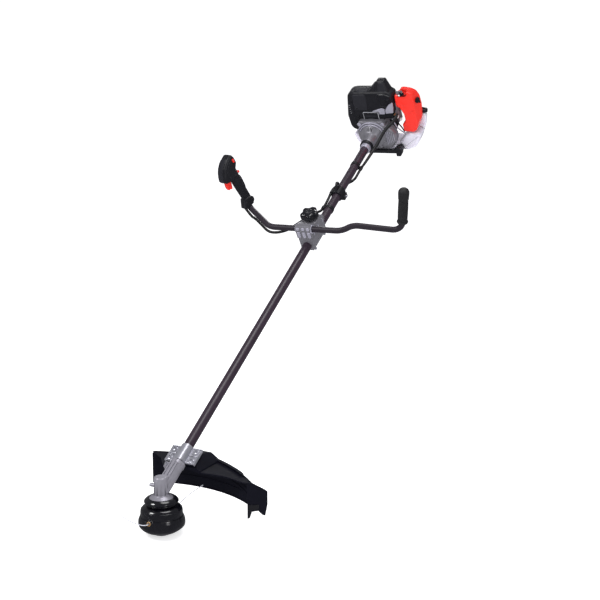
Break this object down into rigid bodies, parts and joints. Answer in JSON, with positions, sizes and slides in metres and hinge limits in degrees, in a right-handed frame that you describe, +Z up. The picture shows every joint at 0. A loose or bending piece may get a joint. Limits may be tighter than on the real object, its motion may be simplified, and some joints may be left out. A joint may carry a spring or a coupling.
{
  "type": "brush cutter",
  "caption": "Petrol brush cutter: bump-feed line head and guard on an angled gearbox, straight drive tube, bull-horn handlebar with throttle handle, and a rear-mounted two-stroke engine.",
  "frame": {"origin": "on the head's spin axis at the underside of the bump knob, where the head meets the ground", "axes": "+Z up along the head's spin axis, +Y from the head towards the handlebar and engine, +X to the right seen from the head, which is the plain grip's side"},
  "size_m": [0.6532, 1.5647, 1.186],
  "materials": {
    "cast_grey": "satin die cast",
    "bright_steel": "zinc plated",
    "machined_steel": "ground",
    "tube_paint": "satin dark aubergine",
    "bar_paint": "gloss dark grey",
    "black_gloss": "gloss moulded",
    "black_plastic": "fine grain moulded",
    "grip_rubber": "matte ribbed",
    "red_plastic": "gloss moulded",
    "eyelet_brass": "worn",
    "nylon_line": "drawn nylon",
    "tank_plastic": "translucent blow moulded",
    "foam": "open cell foam",
    "plug_parts": "glazed",
    "bulb_clear": "soft translucent"
  },
  "bodies": {
    "frame": {"gear_case": "cast_grey", "ball_bearings": "machined_steel", "cap_screws": "bright_steel", "guard": "black_plastic", "line_cutter_blade": "bright_steel", "guard_bracket": "bright_steel", "main_tube": "tube_paint", "shaft_bushes": "grip_rubber", "harness_bracket": "black_plastic", "cable_clips": "black_plastic", "handlebar_base": "cast_grey", "handlebar_cap": "cast_grey", "throttle_cable": "grip_rubber", "clutch_housing": "cast_grey", "clutch_shoes": "machined_steel", "flywheel": "cast_grey", "crankcase": "cast_grey", "crankshaft": "machined_steel", "connecting_rod": "machined_steel", "piston": "machined_steel", "cylinder": "cast_grey", "spark_plug": "plug_parts", "engine_cover": "black_plastic", "muffler": "bright_steel", "muffler_guard": "black_plastic", "carburettor": "cast_grey", "filter_foam": "foam", "filter_cover": "red_plastic", "fuel_tank": "tank_plastic", "tank_stand": "black_plastic", "recoil_housing": "black_plastic"},
    "cutting_head": {"output_shaft": "machined_steel", "output_gear": "machined_steel", "anti_wrap_cup": "black_gloss", "head_cover": "black_gloss", "head_housing": "black_gloss", "line_eyelets": "eyelet_brass", "cutting_line": "nylon_line", "spool_spring": "bright_steel"},
    "line_feed": {"bump_knob": "black_gloss", "line_spool": "red_plastic"},
    "drive_line": {"pinion_gear": "machined_steel", "drive_shaft": "machined_steel", "clutch_drum": "machined_steel"},
    "handlebar_group": {"handlebar": "bar_paint", "plain_grip": "grip_rubber", "throttle_handle_outer": "black_plastic", "throttle_handle_inner": "black_plastic"},
    "trigger": {"throttle_trigger": "red_plastic"},
    "lever_safety": {"safety_lever": "black_plastic"},
    "switch_stop": {"stop_switch": "red_plastic"},
    "button_start_lock": {"start_lock_button": "red_plastic"},
    "knob_clamp": {"clamp_knob": "black_plastic"},
    "lever_throttle": {"throttle_lever": "eyelet_brass"},
    "lever_choke": {"choke_lever": "black_plastic"},
    "bulb_primer": {"primer_bulb": "bulb_clear"},
    "cap_fuel": {"fuel_cap": "black_plastic"},
    "knob_cover": {"cover_knob": "black_plastic"},
    "pulley_starter": {"starter_pulley": "black_plastic"},
    "grip_starter": {"starter_handle": "black_plastic"}
  },
  "joints": [
    {"name": "head_spin", "type": "hinge", "parent": "frame", "child": "cutting_head", "pos_m": [0, 0, 0.1], "axis": [0, 0, 1], "continuous": true},
    {"name": "driveline_spin", "type": "hinge", "parent": "frame", "child": "drive_line", "pos_m": [0, 0, 0.1135], "axis": [0, 0.8387, 0.5446], "continuous": true},
    {"name": "spool_bump", "type": "slide", "parent": "cutting_head", "child": "line_feed", "axis": [0, 0, 1], "range_m": [0, 0.006], "stiffness_N_per_m": 900, "deforming": ["spool_spring"]},
    {"name": "handlebar_tilt", "type": "hinge", "parent": "frame", "child": "handlebar_group", "pos_m": [0, 0.81379, 0.71114], "axis": [1, 0, 0], "range_deg": [-15, 25], "deforming": ["throttle_cable"]},
    {"name": "clamp_knob_turn", "type": "hinge", "parent": "frame", "child": "knob_clamp", "pos_m": [0, 0.85522, 0.74282], "axis": [0, -0.5446, 0.8387], "range_deg": [0, 540]},
    {"name": "trigger_pull", "type": "hinge", "parent": "handlebar_group", "child": "trigger", "pos_m": [-0.26994, 0.80893, 0.86817], "axis": [0.8788, -0.477, -0.0114], "range_deg": [0, 16], "stiffness_Nm_per_rad": 0.4},
    {"name": "safety_press", "type": "hinge", "parent": "handlebar_group", "child": "lever_safety", "pos_m": [-0.24186, 0.8617, 0.82527], "axis": [0.8788, -0.477, -0.0114], "range_deg": [0, 6], "stiffness_Nm_per_rad": 0.4},
    {"name": "stop_switch_slide", "type": "slide", "parent": "handlebar_group", "child": "switch_stop", "axis": [-0.216, -0.419, 0.882], "range_m": [0, 0.005]},
    {"name": "start_lock_press", "type": "slide", "parent": "handlebar_group", "child": "button_start_lock", "axis": [-0.4254, -0.7726, -0.4712], "range_m": [0, 0.003], "stiffness_N_per_m": 400},
    {"name": "throttle_turn", "type": "hinge", "parent": "frame", "child": "lever_throttle", "pos_m": [0.066, 1.3238, 1.07334], "axis": [0, 0.8387, 0.5446], "range_deg": [0, 50]},
    {"name": "choke_turn", "type": "hinge", "parent": "frame", "child": "lever_choke", "pos_m": [0.12, 1.2842, 1.12513], "axis": [0, 0.8387, 0.5446], "range_deg": [0, 50]},
    {"name": "primer_press", "type": "slide", "parent": "frame", "child": "bulb_primer", "axis": [0, -0.5446, 0.8387], "range_m": [0, 0.004], "stiffness_N_per_m": 600},
    {"name": "fuel_cap_turn", "type": "hinge", "parent": "frame", "child": "cap_fuel", "pos_m": [0.171, 1.38995, 1.06145], "axis": [0.1952, -0.4497, 0.8716], "range_deg": [0, 360]},
    {"name": "cover_knob_turn", "type": "hinge", "parent": "frame", "child": "knob_cover", "pos_m": [0.1694, 1.32172, 1.10776], "axis": [0.9205, -0.3277, -0.2128], "range_deg": [0, 360]},
    {"name": "starter_pull", "type": "slide", "parent": "frame", "child": "grip_starter", "axis": [-1, 0, 0], "range_m": [0, 0.6]},
    {"name": "starter_pulley_turn", "type": "hinge", "parent": "frame", "child": "pulley_starter", "pos_m": [0, 1.43497, 1.04538], "axis": [0, 0.8387, 0.5446], "range_deg": [-1440, 0]}
  ],
  "couplings": [
    {"joint": "driveline_spin", "follows": "head_spin", "ratio": -1.3571},
    {"joint": "throttle_turn", "follows": "trigger_pull", "ratio": 3},
    {"joint": "starter_pulley_turn", "follows": "starter_pull", "rad_per_m": -41.667}
  ]
}
